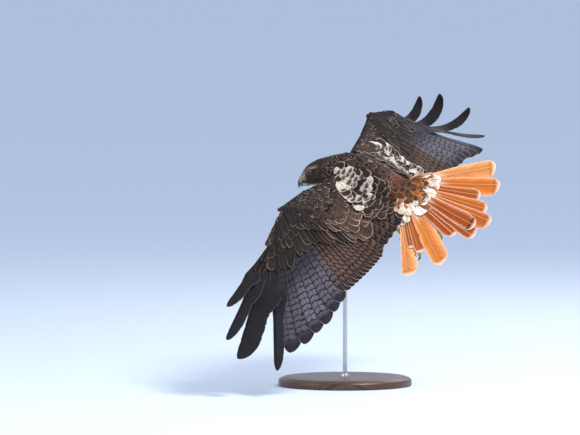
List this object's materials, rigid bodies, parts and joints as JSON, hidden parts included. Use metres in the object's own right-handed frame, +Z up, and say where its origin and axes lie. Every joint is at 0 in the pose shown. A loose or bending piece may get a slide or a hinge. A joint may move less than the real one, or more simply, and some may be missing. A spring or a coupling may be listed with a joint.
{
  "type": "red tailed hawk",
  "caption": "Life-size still model of a red tailed hawk in a banked turn, wings and tail spread, on a plain display stand.",
  "frame": {"origin": "middle of the stand's underside, on the floor", "axes": "+Z up, -Y towards the side that the picture shows, -X the way the bird flies"},
  "size_m": [0.6156, 0.8145, 0.6322],
  "materials": {
    "plumage_body": "matt overlapping feathers, blackish brown with buff edges and white mottling",
    "plumage_head": "short matt feathers, dark grey brown",
    "plumage_wing": "satin vanes, grey brown with dark bars and blackish tips",
    "plumage_tail": "satin rufous vanes with pale shafts and tips",
    "plumage_leg": "soft matt feathers, buff barred with rufous",
    "cere": "waxy skin, pale grey green",
    "bill": "smooth horn, dark slate",
    "eye": "wet gloss, dark brown iris",
    "foot": "scaly yellow skin",
    "claw": "polished black horn",
    "stand_wood": "oiled walnut, satin",
    "stand_steel": "brushed steel rod"
  },
  "bodies": {
    "root": {"torso": "plumage_body", "neck": "plumage_head", "head": "plumage_head", "cere": "cere", "bill_upper": "bill", "bill_lower": "bill", "eye_left": "eye", "eye_right": "eye", "wing_left_hand": "plumage_wing", "wing_left_arm": "plumage_wing", "wing_right_hand": "plumage_wing", "wing_right_arm": "plumage_wing", "tail": "plumage_tail", "thigh_left": "plumage_leg", "thigh_right": "plumage_leg", "foot_left": "foot", "foot_right": "foot", "claw_left_1": "claw", "claw_left_2": "claw", "claw_left_3": "claw", "claw_left_4": "claw", "claw_right_1": "claw", "claw_right_2": "claw", "claw_right_3": "claw", "claw_right_4": "claw", "stand_base": "stand_wood", "stand_rod": "stand_steel"}
  },
  "joints": []
}
